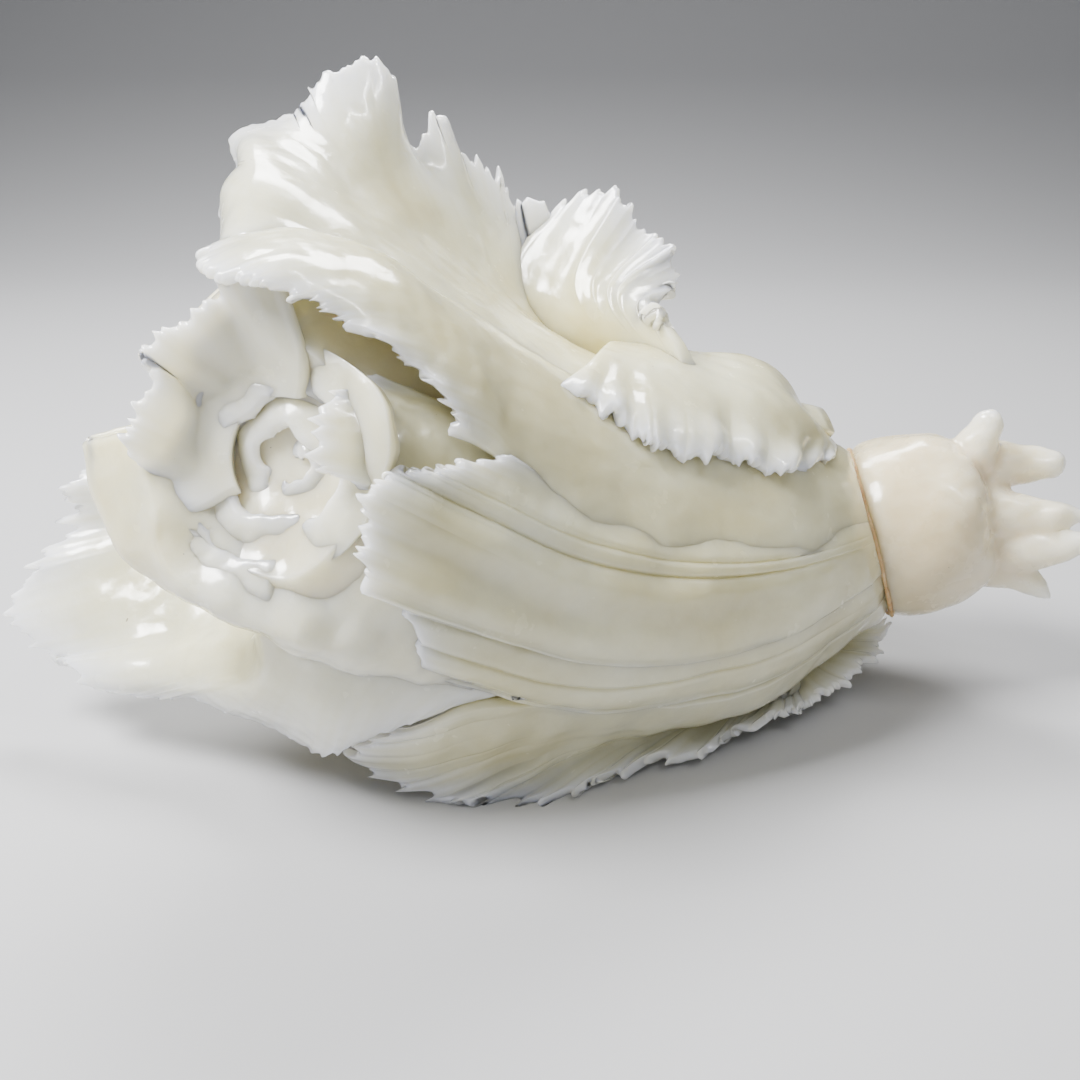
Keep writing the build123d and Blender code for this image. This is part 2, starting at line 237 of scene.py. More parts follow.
def spiky_rim(rng, length, spacing, height, width):
    """Uneven teeth that stand out from the rim."""
    marks = spaced(rng, length, spacing)
    heights = rng.uniform(height[0], height[1], len(marks)) * rng.choice([0.5, 1, 1, 1.35], len(marks))
    widths = rng.uniform(width[0], width[1], len(marks))

    def rim(u):
        reach = np.clip(1 - np.abs(u[:, None] - marks) / widths, 0, 1) ** 1.15
        return (reach * heights).max(1) - 0.4 * np.mean(heights)
    return rim


def scalloped_rim(rng, length, spacing, depth):
    """Hollow scallops between pointed tips."""
    marks = np.concatenate([[-spacing[1]], spaced(rng, length, spacing), [length + spacing[1]]])
    depths = rng.uniform(depth[0], depth[1], len(marks))

    def rim(u):
        i = interval(marks, u)
        v = (u - marks[i]) / (marks[i + 1] - marks[i])
        return -depths[i] * (1 - np.abs(2 * v - 1) ** 2.6)
    return rim


def spiky(spacing, height, width):
    """Teeth for a leaf's list of rims."""
    return lambda rng, length: spiky_rim(rng, length, spacing, height, width)


def scalloped(spacing, depth):
    """Scallops for a leaf's list of rims."""
    return lambda rng, length: scalloped_rim(rng, length, spacing, depth)


# ---------------------------------------------------------------- meshes

def link(obj):
    bpy.context.scene.collection.objects.link(obj)
    return obj


def add_attribute(mesh, key, values):
    """A number for each vertex, which the materials read."""
    layer = mesh.attributes.new(key, "FLOAT", "POINT")
    layer.data.foreach_set("value", np.asarray(values, np.float32).ravel())


def mesh_object(name, vertices, faces, thin=None):
    """A smooth-shaded mesh object from millimetre points counted from the datum."""
    mesh = bpy.data.meshes.new(name)
    points = (np.asarray(vertices, float) + DATUM) * MM
    faces = np.asarray(faces, np.int32)
    mesh.vertices.add(len(points))
    mesh.vertices.foreach_set("co", points.astype(np.float32).ravel())
    mesh.loops.add(faces.size)
    mesh.loops.foreach_set("vertex_index", faces.ravel())
    mesh.polygons.add(len(faces))
    mesh.polygons.foreach_set("loop_start", np.arange(0, faces.size, faces.shape[1], dtype=np.int32))
    mesh.polygons.foreach_set("use_smooth", np.ones(len(faces), bool))
    mesh.update(calc_edges=True)
    if thin is not None:
        add_attribute(mesh, "thin", thin)
    mesh.validate()
    return link(bpy.data.objects.new(name, mesh))


def sheet_faces(rows, columns):
    """Faces of a closed sheet: a front net, a back net after it and a strip round their border."""
    index = np.arange(rows * columns).reshape(rows, columns)
    a, b, c, d = index[:-1, :-1], index[:-1, 1:], index[1:, 1:], index[1:, :-1]
    front = np.stack([a, b, c, d], -1).reshape(-1, 4)
    shift = rows * columns
    back = front[:, ::-1] + shift
    border = np.concatenate([index[0, :-1], index[:-1, -1], index[-1, :0:-1], index[:0:-1, 0]])
    after = np.roll(border, -1)
    strip = np.stack([after, border, border + shift, after + shift], -1)
    return np.concatenate([front, back, strip])


def ring_faces(rings, around):
    """Faces between rings of points, each ring closed on itself."""
    index = np.arange(rings * around).reshape(rings, around)
    after = np.roll(index, -1, axis=1)
    return np.stack([index[:-1], index[1:], after[1:], after[:-1]], -1).reshape(-1, 4)


def joined(points):
    """Ends the head at the root joint and rounds it over into the seam."""
    along = (points - ROOT_CENTRE) @ ROOT_AXIS
    points = points - np.clip(along, 0, None)[..., None] * ROOT_AXIS
    along = np.minimum(along, 0)
    radial = points - ROOT_CENTRE - along[..., None] * ROOT_AXIS
    return points - radial * (SEAM_ROUNDING * smooth(-SEAM_DEPTH, 0, along) ** 2)[..., None]


# ---------------------------------------------------------------- a leaf from its rows

LINE_CROWDING = 1.5       # above 1, the lines of a leaf's net crowd towards its rim
RIM_SPAN = 0.04           # share of the leaf next to its rim over which its scale there is measured
RIM_SCALE_LEAST = 8
RIM_END = 4               # teeth fade out over this length at both ends of a rim
SIDE_END = 0.07           # relief fades out over this share of the leaf at both sides
HEART_DEPTH = 9           # the heart leaves face away from a point this far behind the heart's centre
LEAST_ROUNDING = 0.03
FLOOR_GAP = 0.05          # leaves that spread on the table stop this far above it


def carved_relief(rng, look, run, along):
    """Height of a leaf's grooves, frills and rolls above its plain surface."""
    relief = np.zeros_like(along)
    warp = waves(rng, 4, 15, 60)
    for pitch, depth, start, sharp in look.get("grooves", ()):
        phase = run / pitch + 0.45 * warp(run) + rng.uniform(0, 1)
        fade = 0.6 + 0.4 * waves(rng, 3, 8, 30)(run)
        groove = (1 - np.abs(np.sin(math.pi * phase))) ** sharp
        relief -= depth * groove * fade * smooth(start, start + 0.3, along)
    for pitch, height, start, power in look.get("frills", ()):
        swing = waves(rng, 5, 0.7 * pitch, 1.6 * pitch)(run + 2 * (1 - along) * warp(run + 31))
        relief += height * swing * np.clip((along - start) / (1 - start), 0, 1.3) ** power
    for height, place, width in look.get("rolls", ()):
        relief += height * np.exp(-((along - place) / width) ** 2)
    return relief


def outward_sign(points, normals, space):
    """1 where a net's normals point out of the head, or out of the heart, and -1 where they point in."""
    if space:
        outward = points - (HEART_CENTRE - HEART_DEPTH * HEART_AXIS)
    else:
        outward = points - centre_line(points[..., 0])
    lines, columns = points.shape[:2]
    probe = (slice(lines // 5, lines // 3), slice(columns // 3, 2 * columns // 3))
    return -1 if (normals[probe] * outward[probe]).sum(-1).mean() < 0 else 1


def leaf(name, rows, thick, side, look, space=False):
    """A carved leaf: its net of rows, relieved with ribs, frills and a toothed rim, given a thickness."""
    columns, lines = look.get("net", (300, 120))
    rng = np.random.default_rng(look["seed"])
    net = rows if space else unwrapped(rows)

    def surface(across, along):
        values = picked(net, across, along)
        return values if space else head_point(values[..., 0], values[..., 1], values[..., 2])

    across = np.linspace(0, 1, columns)
    base_to_rim = 1 - (1 - np.linspace(0, 1, lines)) ** LINE_CROWDING
    rim_line = surface(across, np.ones(columns))
    near_rim = surface(across, np.full(columns, 1 - RIM_SPAN))
    rim_scale = np.linalg.norm(rim_line - near_rim, axis=-1) / RIM_SPAN
    rim_run = np.concatenate([[0], np.cumsum(np.linalg.norm(np.diff(rim_line, axis=0), axis=-1))])
    length = rim_run[-1]
    edge = sum(rim(rng, length)(rim_run) for rim in look["rims"])
    edge = edge * smooth(0, RIM_END, rim_run) * smooth(0, RIM_END, length - rim_run)
    reach = edge / np.maximum(rim_scale, RIM_SCALE_LEAST)

    a, b = np.meshgrid(across, base_to_rim)
    b = b * (1 + reach[None, :] * smooth(0.5, 1, b))
    points = surface(a, b)
    normals = grid_normals(points)
    turn = outward_sign(points, normals, space)
    normals = normals * turn

    relief = carved_relief(rng, look, np.broadcast_to(rim_run, a.shape), b)
    relief *= smooth(0, SIDE_END, a) * smooth(0, SIDE_END, 1 - a) * smooth(2, 14, rim_scale)
    relief += look.get("lumps", 0.25) * wobble(rng, points, 9, 30)
    relief += look.get("dents", 0.05) * wobble(rng, points, 3, 7, 14)
    points = points + normals * relief[..., None]
    normals = grid_normals(points) * turn

    full = thick[0] + (thick[1] - thick[0]) * np.clip(b, 0, 1)
    rim_gap = np.linalg.norm(points - points[-1:], axis=-1)
    start_gap = np.linalg.norm(points - points[:, :1], axis=-1)
    end_gap = np.linalg.norm(points - points[:, -1:], axis=-1)
    border_gap = np.minimum(rim_gap, np.minimum(start_gap, end_gap))
    gap = np.clip(border_gap / look.get("round", 1.1), 0, 1)
    rounding = np.sqrt(np.clip(1 - (1 - gap) ** 2, LEAST_ROUNDING, 1))
    middle = points + side * normals * (full / 2)[..., None]
    half = (full / 2 * rounding)[..., None] * normals * side
    vertices = np.concatenate([(middle - half).reshape(-1, 3), (middle + half).reshape(-1, 3)])
    vertices = joined(vertices)
    vertices[:, 2] = np.maximum(vertices[:, 2], FLOOR_GAP)
    # Nearness to the rim, which the materials paint paler: a painted glow of light through the thin edge.
    thin = np.exp(-rim_gap / look.get("thin", 9))
    faces = sheet_faces(lines, columns)
    if side * turn < 0:
        faces = faces[:, ::-1]
    return mesh_object(name, vertices, faces, np.concatenate([thin.ravel(), thin.ravel()]))


# ---------------------------------------------------------------- leaves

# thick is the thickness at the base and at the rim, and side is 1 where the leaf's body lies outside
# its rows and -1 where it lies inside. Rows run from base to rim. In a look:
# net: columns along the rim, lines from base to rim
# rims: teeth or scallops, added up
# grooves: pitch along the rim, depth, where they start between base (0) and rim (1), sharpness
# frills: pitch along the rim, height, where they start, power with which they grow
# rolls: height, place between base and rim, width
# thin: how far the pale edge reaches into the leaf, a painted glow of light through the translucent thin
# stone

FINE_TEETH = spiky((1.2, 3.0), (0.4, 1.4), (0.5, 1.1))

LEAVES = {
    "front_leaf": dict(thick=(5, 1.8), side=-1, rows=[
        collar(-2, 36, 1),
        [(50, -6, 2), (50, 10, 2), (50, 22, 1.6), (50, 33, -0.4)],
        [(18, -8, 2), (17, 4, 2.2), (18, 16, 2.5), (19, 27, 2), (20, 38, -0.2)],
        [(-15.5, -3, 2), (-15, 6, 2), (-14.5, 13, 2.3), (-14.5, 20, 2.5), (-11, 25.5, 3), (-5, 29.5, 3),
         (0, 34, 3), (6, 40, 2.2)],
    ], look=dict(seed=1, net=(330, 140), rims=[spiky((2.5, 5), (0.6, 1.8), (1.2, 2.4)), FINE_TEETH],
                 grooves=[(11, 0.9, 0.1, 2.5), (4, 0.25, 0.7, 2)], frills=[(12, 0.45, 0.2, 1)], thin=4)),
    "front_under_leaf": dict(thick=(5, 2), side=-1, rows=[
        collar(-30, 2, 0),
        [(45, -26, 1), (45, -12, 1.2), (45, 2, 1)],
        [(15, -30, 1), (14, -16, 1.6), (15, 0, 1)],
        [(-9.5, -26, 0.5), (-8.5, -17, 1.5), (-9, -8, 1.5), (-13, 0, 0.5)],
    ], look=dict(seed=2, net=(200, 120), rims=[scalloped((4, 8), (0.4, 1.2))],
                 grooves=[(9, 0.7, 0.1, 2.5)], frills=[(12, 0.4, 0.1, 1)], thin=3)),
    "lower_front_leaf": dict(thick=(4, 1.6), side=-1, rows=[
        collar(-70, -24, 0.5, 4),
        [(64, -68, 0), (58, -56, 1), (53, -42, 1.5), (48, -26, 1)],
        [(54, -64, 0), (36, -58, 0), (18, -46, 2), (5, -32, 0.5)],
        in_space((47, -21, 4), (38, -29, 3.5), (29, -31, 3), (20, -35, 2.5), (13, -39, 1.5), (2, -40, 0.6),
                 (-6, -40, 0.6), (-17, -36, 1), (-25, -30, 4), (-24, -34, 9), (-16, -38, 15)),
    ], look=dict(seed=3, net=(360, 130), rims=[scalloped((4, 7), (2.8, 4.6))],
                 grooves=[(6, 0.5, 0.65, 2.5), (3, 0.2, 0.85, 2)], frills=[(14, 0.8, 0.5, 1.5)], thin=7)),
    "lower_right_leaf": dict(thick=(3, 1.5), side=-1, rows=[
        collar(-112, -55, 0, 4, x=80),
        [(70, -108, 1), (68, -92, 1), (64, -78, 1), (60, -66, 1)],
        in_space((83, 11, 15), (83, 5, 11), (76, -4, 8), (66, -12, 6), (56, -18, 5.5), (46, -22, 5.5)),
    ], look=dict(seed=4, net=(240, 90), rims=[scalloped((3, 6), (0.8, 2)), FINE_TEETH],
                 grooves=[(5, 0.5, 0.4, 2.5)], frills=[(9, 0.4, 0.4, 1.5)], thin=6)),
    "lower_left_leaf": dict(thick=(2, 1.8), side=1, rows=[
        [(24, -150, -3), (24, -120, -3), at(-28, -33, 44), (-4, -16, -3), (32, -20, -2)],
        [(-18, -160, -2), (-18, -130, -1), at(-37, -31, 34), (-20, -29, -1), (22, -22, -1.5)],
        [(-50, -158, -2), (-54, -128, 2), (-43, -80, 4.5), (-26, -45, 2.5), (8, -24, -0.5)],
        in_space((-74, 4, 49), (-79, -1, 46), (-82, -3, 37), (-88, -5, 29), (-92, -9, 22), (-87, -13, 17),
                 (-79, -17, 16), (-72, -20, 12), (-60, -24, 11.5), (-46, -27, 12.5), (-38, -31, 10),
                 (-29, -36, 8), (-20, -41, 14), (-11, -42.5, 18.5), (1, -39, 22)),
    ], look=dict(seed=5, net=(380, 120),
                 rims=[scalloped((4, 8), (1, 2.6)), spiky((2, 4.5), (1.2, 3.2), (1.1, 2.4)), FINE_TEETH],
                 grooves=[(6, 0.4, 0.75, 2.5), (3, 0.2, 0.88, 2)], frills=[(20, 1.3, 0.45, 1.4)], thin=13)),
    "upper_wrap_leaf": dict(thick=(4, 2), side=-1, rows=[
        collar(20, 92, 0.3, 4),
        [(45, 23, 0.6), (45, 44, 1), (44, 60, 1.2), (43, 80, 0)],
        [(12, 30, 0.6), (10, 52, 2.5), (8, 68, 3), (7, 86, 0)],
        [(3, 38, 1), (2, 50, 4.5), (-6, 62, 6.5), (-17, 75, 6), (-29, 92, 2)],
        [(-3, 39, 1), (-4, 44, 2.5), (-8, 48.5, 4), (-13, 51.5, 4.5), (-19, 53, 4.5), (-24, 55, 4.5),
         (-30.6, 56, 4.5), (-38, 62, 1.5), at(-41, -29, 93), (-36, 94, -1)],
    ], look=dict(seed=6, net=(340, 140), rims=[scalloped((3, 5.5), (0.8, 2)), FINE_TEETH],
                 grooves=[(5, 0.5, 0.85, 2)], frills=[(10, 0.5, 0.75, 1.5)], rolls=[(0.8, 0.93, 0.06)],
                 thin=5)),
    "tall_back_leaf": dict(thick=(4, 1.8), side=1, rows=[
        [(64, 86, -2), (64, 104, 0), (64, 118, -1), (64, 132, -2)],
        [(24, 76, -3), (26, 98, -1.5), (28, 116, -1), (28, 134, 0)],
        [(-8, 80, -3), (-4, 106, 0), (2, 124, 4), (8, 136, 8)],
        [(-35, 84, -2), (-32, 102, 7), (-24, 116, 12), (-12, 124, 18), (-2, 130, 22), (5, 134, 26)],
        in_space((-38, -16, 85), (-43, -2, 88), (-45, 5, 95), (-41, 8, 100), (-43, 11, 106), (-38, 14, 108),
                 (-33, 17, 110), (-31, 18, 113), (-26, 20, 117.5), (-18.5, 22, 117.5), (-17.5, 24, 110.5),
                 (-16.4, 26, 103.5), (-13, 27, 104.5), (-9.5, 29, 109.5), (-7, 30, 104), (-1, 31, 99.5),
                 (3.5, 33, 94), (5, 34, 87)),
    ], look=dict(seed=7, net=(400, 125), rims=[spiky((2.2, 4.2), (0.8, 2.4), (0.9, 1.8)), FINE_TEETH],
                 grooves=[(5, 0.35, 0.84, 2), (2.4, 0.18, 0.9, 2)], frills=[(18, 0.9, 0.35, 1.2)], thin=15)),
    "small_back_leaf": dict(thick=(2.5, 1.6), side=1, rows=[
        [(40, 112, -3), (36, 128, -2)],
        [(22, 122, 3), (18, 138, 6)],
        [(8, 132, 19), (13, 136, 22)],
        in_space((4, 33, 89), (6, 33, 92), (9, 32, 94), (12, 32, 92), (14, 32, 88)),
    ], look=dict(seed=8, net=(120, 120), rims=[spiky((2, 3.5), (1, 2.5), (0.9, 1.6))],
                 grooves=[(4, 0.5, 0.5, 2)], thin=12)),
    "curled_back_leaf": dict(thick=(3, 1.8), side=1, rows=[
        [(50, 82, -1), (42, 104, -1), (26, 140, -2)],
        [(39, 82, 4), (29, 106, 6), (5, 141, 8)],
        [(32, 92, 13), (22, 114, 16), (-1, 140, 20)],
        in_space((28, 9, 72), (32, 12, 75), (35, 13, 79), (37, 15, 80), (36, 18, 85), (33, 21, 89),
                 (29, 24, 91), (25, 26, 96), (21, 27, 96), (18, 29, 95), (12, 32, 90), (5, 35, 85)),
    ], look=dict(seed=9, net=(280, 120), rims=[spiky((3, 6), (0.6, 2.2), (1, 2)), FINE_TEETH],
                 grooves=[(7, 0.7, 0.4, 2.5), (3, 0.25, 0.75, 2)], frills=[(11, 0.7, 0.5, 1.5)], thin=9)),
    "shoulder_leaf": dict(thick=(5, 2.5), side=-1, rows=[
        [(20, 150, -2), (40, 150, -2), (60, 150, -2), (70, 150, -2)],
        [(24, 122, 6), (39, 114, 8), (51, 107, 9.5), (58, 103, 7), (65, 100, -1), (71, 95, -3)],
        [(20, 86, 5), (38, 84, 8), (54, 78, 6.5), (70, 84, -1)],
        [(13.5, 66, 3), (27, 55, 4), (34, 51, 4.5), (41, 53, 4), (47.5, 52.5, 3.5), (51, 49, 3.5),
         (56.5, 53, 2.5), (66, 66, 0)],
    ], look=dict(seed=10, net=(280, 130), rims=[scalloped((4, 7), (0.8, 2)), FINE_TEETH],
                 grooves=[(6, 0.5, 0.75, 2)], frills=[(9, 0.8, 0.7, 1.5)], rolls=[(0.7, 0.92, 0.05)],
                 thin=4)),
    "mid_leaf": dict(thick=(3, 1.6), side=-1, rows=[
        [(8, 24, -2), (8, 36, -2), (8, 50, -2)],
        [(-4, 20, -1.5), (-4, 34, -1.5), (-4, 50, -1.5)],
        [(-14, 20, -1.5), (-21, 22, -1), (-21.5, 30, -1), (-21, 37, -1.5), (-14, 50, -2)],
    ], look=dict(seed=11, net=(220, 90), rims=[spiky((2, 3.6), (0.8, 2), (0.9, 1.6))],
                 frills=[(8, 0.3, 0.3, 1)], thin=3)),
    "upper_back_leaf": dict(thick=(5, 2), side=-1, rows=[
        collar(128, 185, 0),
        [(45, 128, 0), (45, 156, 1), (45, 184, 1)],
        [(5, 138, 0), (5, 160, 2), (5, 184, 2)],
        [(-30, 132, 8), (-40, 150, 9), (-44, 168, 9), (-38, 186, 7)],
    ], look=dict(seed=12, net=(300, 130), rims=[spiky((3, 6), (1, 3), (1.4, 2.6)), FINE_TEETH],
                 grooves=[(10, 1, 0.1, 2.5), (4, 0.3, 0.7, 2)], frills=[(12, 0.9, 0.5, 1.5)], thin=7)),
    "middle_back_leaf": dict(thick=(4, 2), side=-1, rows=[
        collar(172, 228, -1),
        [(42, 176, -1), (42, 202, 0), (42, 228, 0)],
        [(0, 180, -1), (-2, 205, 1), (0, 232, 1)],
        [(-36, 182, 4), (-50, 198, 6), (-50, 214, 5), (-34, 234, 5)],
    ], look=dict(seed=13, net=(300, 130), rims=[spiky((3, 6), (1, 3), (1.4, 2.6)), FINE_TEETH],
                 grooves=[(11, 1, 0.1, 2.5), (4, 0.3, 0.7, 2)], frills=[(12, 0.9, 0.5, 1.5)], thin=7)),
    "lower_back_leaf": dict(thick=(4, 1.8), side=-1, rows=[
        collar(215, 248, 0),
        [(50, 218, 1), (50, 234, 0), (52, 248, -1)],
        [(10, 222, 2), (14, 238, 1), (26, 248, -1)],
        in_space((-24, 26, 14), (-14, 31, 6), (-2, 34, 3), (10, 34, 2.5), (24, 33, 2.5), (38, 29, 3.5),
                 (52, 21, 5), (60, 14, 8)),
    ], look=dict(seed=14, net=(300, 120), rims=[scalloped((4.5, 8), (1.5, 3)), FINE_TEETH],
                 grooves=[(7, 0.7, 0.4, 2.5)], frills=[(12, 0.8, 0.5, 1.5)], thin=7)),
}


# ---------------------------------------------------------------- heart

HEART_FLOOR = -4.6        # height of the middle of the heart's basin along its axis
HEART_HOLLOW = 68         # the larger, the flatter the basin
FOLD_ROWS = [
    # share of the fold's width outside its lip, height in steps; from base to lip
    (1, -0.6), (0.62, 0.5), (0.24, 1.0), (0, 0.75),
]
FOLD_SINK = 1.7           # how many steps a fold's two ends sink into the basin


def heart_point(theta, rho, height, shift=(0, 0)):
    """Polar coordinates round the heart's axis to a point in space: theta 0 is right, 90 is up."""
    sideways = np.array([1.0, 0, 0]) - HEART_AXIS * HEART_AXIS[0]
    sideways /= np.linalg.norm(sideways)
    upward = np.cross(HEART_AXIS, sideways)
    angle = math.radians(theta)
    point = HEART_CENTRE + HEART_AXIS * height
    point = point + sideways * (shift[0] + rho * math.cos(angle))
    point = point + upward * (shift[1] + rho * math.sin(angle))
    return tuple(point)


def heart_floor(rho):
    """Height of the heart's shallow basin, which the small leaves lie in."""
    return HEART_FLOOR + rho**2 / HEART_HOLLOW


def fold(start, end, lip, width, step, sway=1.0, shift=(0, 0), count=13):
    """Rows of a small leaf that lies in the basin: sunk outside, its free lip a step above the middle."""
    rows = []
    for out, rise in FOLD_ROWS:
        row = []
        for i in range(count):
            share = i / (count - 1)
            theta = start + (end - start) * share
            ending = abs(2 * share - 1) ** 3
            slow, quick = math.radians(2.3 * theta + 40 * lip), math.radians(5.1 * theta)
            rho = lip + width * out + sway * (math.sin(slow) + 0.6 * math.sin(quick))
            height = heart_floor(rho) + step * (rise - FOLD_SINK * ending)
            row.append(heart_point(theta, rho, height, shift))
        rows.append(row)
    return rows


SOFT_LIP = [scalloped((4, 8), (0.3, 1.2)), spiky((2, 4), (0.1, 0.5), (0.8, 1.6))]


def soft_look(seed, net, rounding, lumps, frill, thin=2, dents=0.12):
    """Look of a small heart leaf: a soft worn lip and gentle frills, given as pitch and height."""
    return dict(seed=seed, net=net, rims=SOFT_LIP, round=rounding, lumps=lumps, dents=dents,
                frills=[(*frill, 0.4, 1.5)], thin=thin)


HEART_LEAVES = {
    "heart_bowl_leaf": dict(thick=(2.5, 2), rows=[
        [(-50, -16, 66), (-48, -16, 56), (-42, -18, 42), (-34, -24, 32), (-18, -30, 24), (-8, -30, 22),
         (2, -30, 16)],
        [(-61, -27, 64), (-58, -31, 54), (-51, -35, 45), (-39.5, -42, 39), (-25, -46, 33.5), (-11, -44, 27),
         (0, -41, 22)],
        [(-62.5, -30, 64), (-60.4, -35, 55.7), (-54.4, -40, 47.5), (-42.3, -46.5, 41.6), (-26.5, -50, 36.9),
         (-12, -47.6, 30), (0, -44, 25)],
        [(-54.7, -36, 67.3), (-50.2, -42.5, 58), (-48.5, -46, 50.5), (-41, -50, 44.5), (-26, -53, 39.5),
         (-12, -50, 34), (0, -46, 30)],
        [(-50.5, -37, 67), (-47, -43, 58.5), (-45.5, -46.5, 51.5), (-38, -50.5, 46.5), (-25.5, -53, 42),
         (-12, -51.3, 39), (0, -47.3, 35)],
        [(-45, -37, 66.7), (-43, -41.5, 59.5), (-40, -44.5, 53.5), (-33.5, -48, 49), (-24.5, -50.5, 47),
         (-13, -51.5, 46), (0, -48, 41)],
        [heart_point(theta, 10, HEART_FLOOR) for theta in (165, 190, 218, 247, 280)]
        + [(-14, -49, 57), (0, -46.5, 53)],
    ], look=dict(seed=21, net=(300, 150), rims=[scalloped((6, 11), (0.3, 0.8))],
                 lumps=0.45, dents=0.1, thin=2)),
    "heart_upper_leaf": dict(thick=(3, 1.8), rows=[
        [heart_point(theta, 10, -4.4) for theta in (212, 192, 170, 148, 124, 100, 70)],
        [heart_point(theta, 16.5, -1.8) for theta in (210, 190, 170, 148, 125, 102, 72)],
        [heart_point(207, 18, -2), heart_point(188, 21, 0.5), (-52.5, -41, 69), (-50, -41.5, 74),
         (-47.5, -41, 78), (-49.5, -37, 81.5), (-44, -38, 85), (-39.5, -37, 88), (-36, -35, 91),
         (-28, -34, 92)],
    ], look=dict(seed=22, net=(280, 130), rims=[scalloped((4, 8), (0.6, 1.6)), FINE_TEETH],
                 frills=[(12, 0.7, 0.3, 1.3)], lumps=0.5, thin=6)),
    "heart_left_leaf": dict(thick=(3, 2.6), rows=fold(96, 268, 14.5, 7, 1.5, sway=0.8),
                            look=soft_look(23, (240, 100), 1.6, 0.5, (9, 0.4))),
    "heart_ring_leaf": dict(thick=(3, 2.6), rows=fold(48, 292, 8.8, 7, 1.9, sway=0.9),
                            look=soft_look(24, (240, 90), 1.6, 0.5, (8, 0.5), thin=3)),
    "heart_right_leaf": dict(thick=(2.6, 2.2), rows=fold(-95, 75, 10, 8, 1.5),
                             look=soft_look(25, (180, 80), 1.4, 0.4, (7, 0.4))),
    "heart_inner_leaf": dict(thick=(2.6, 2.2), rows=fold(-20, 235, 4.6, 6, 1.6, sway=0.7, shift=(0, -1)),
                             look=soft_look(26, (180, 80), 1.4, 0.4, (6, 0.4))),
    "heart_bud": dict(thick=(2.2, 1.8), rows=fold(-170, 130, 1.4, 5, 1.3, sway=0.5, shift=(0.8, -1.5)),
                      look=soft_look(27, (150, 70), 1.2, 0.3, (5, 0.3), dents=0.1)),
}


# ---------------------------------------------------------------- core

CORE_NET = ((230, 400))     # rings along the head, points round each ring
CORE_LEFT = -50
CORE_RIGHT = 90
CORE_CROWDING = 1.6       # above 1, the rings crowd towards the left end
CORE_DEPTH = 3.2          # the core's surface lies this far under the plain head surface
CORE_ROUNDING = 26
CORE_FLOOR = 0.6          # height of the belly's flat ground
CORE_LUMPS = 0.5
DISH_RADIUS = 34
DISH_DEPTH = 5
END_CENTRE = np.array([-22.0, -20.0, 58.0])
END_RADIUS = 32
LOBE_STEP = 1.1           # height of the edge of a leaf wrapped round the left end
END_LOBES = [
    # direction from the middle of the head's left end, half angle in degrees
    ((-0.5, 0.85, 0.2), 62), ((-0.55, 0.1, 0.85), 50), ((-0.75, -0.1, -0.65), 52), ((-0.9, 0.45, -0.1), 30),
]


def lobes(rng, points):
    """How many of the wrapped leaves at the head's left end cover each point, with scalloped edges."""
    spokes = (points - END_CENTRE) / np.linalg.norm(points - END_CENTRE, axis=-1, keepdims=True)
    covered = np.zeros(points.shape[:-1])
    for direction, spread in END_LOBES:
        direction = unit(direction)
        angle = np.degrees(np.arccos(np.clip(spokes @ direction, -1, 1)))
        side, up = axis_frame(direction)
        turn = np.arctan2(spokes @ up, spokes @ side)
        bulge = 5 * np.sin(2 * turn + rng.uniform(0, 6))
        scallop = 2.2 * np.abs(np.sin(4.5 * turn + rng.uniform(0, 6)))
        covered += smooth(0, 3, spread + bulge + scallop - angle)
    return covered


def head_core():
    """The solid middle of the head: rounded at its left end, with the heart's dish pressed into it."""
    rings, around = CORE_NET
    rng = np.random.default_rng(31)
    x = CORE_LEFT + (CORE_RIGHT - CORE_LEFT) * np.linspace(0, 1, rings) ** CORE_CROWDING
    closing = np.clip((x - CORE_LEFT) / CORE_ROUNDING, 0, 1)
    d = (station(x, RADIUS) - CORE_DEPTH) * np.sqrt(1 - (1 - closing) ** 2) - station(x, RADIUS)
    phi = np.arange(around) * 360 / around
    grid_x, grid_phi = np.meshgrid(x, phi, indexing="ij")
    points = head_point(grid_x, grid_phi, np.broadcast_to(d[:, None], grid_x.shape))
    dish_centre = HEART_CENTRE + HEART_AXIS * (DISH_RADIUS - DISH_DEPTH)
    offset = points - dish_centre
    distance = np.linalg.norm(offset, axis=-1)
    push = np.clip(DISH_RADIUS - distance, 0, None)
    points = points + offset / distance[..., None] * push[..., None]
    points = points + CORE_LUMPS * wobble(rng, points, 8, 22)[..., None] * offset / distance[..., None]
    points = points + LOBE_STEP * lobes(rng, points)[..., None] * (points - END_CENTRE) / END_RADIUS
    points = joined(points)
    points[..., 2] = np.maximum(points[..., 2], CORE_FLOOR)
    obj = mesh_object("head_core", points.reshape(-1, 3), ring_faces(rings, around),
                      np.zeros(points[..., 0].size))
    mesh = bmesh.new()
    mesh.from_mesh(obj.data)
    bmesh.ops.remove_doubles(mesh, verts=mesh.verts, dist=1e-6)
    bmesh.ops.holes_fill(mesh, edges=[e for e in mesh.edges if e.is_boundary])
    bmesh.ops.recalc_face_normals(mesh, faces=mesh.faces)
    for face in mesh.faces:
        face.smooth = True
    mesh.to_mesh(obj.data)
    mesh.free()
    return obj


# ---------------------------------------------------------------- root

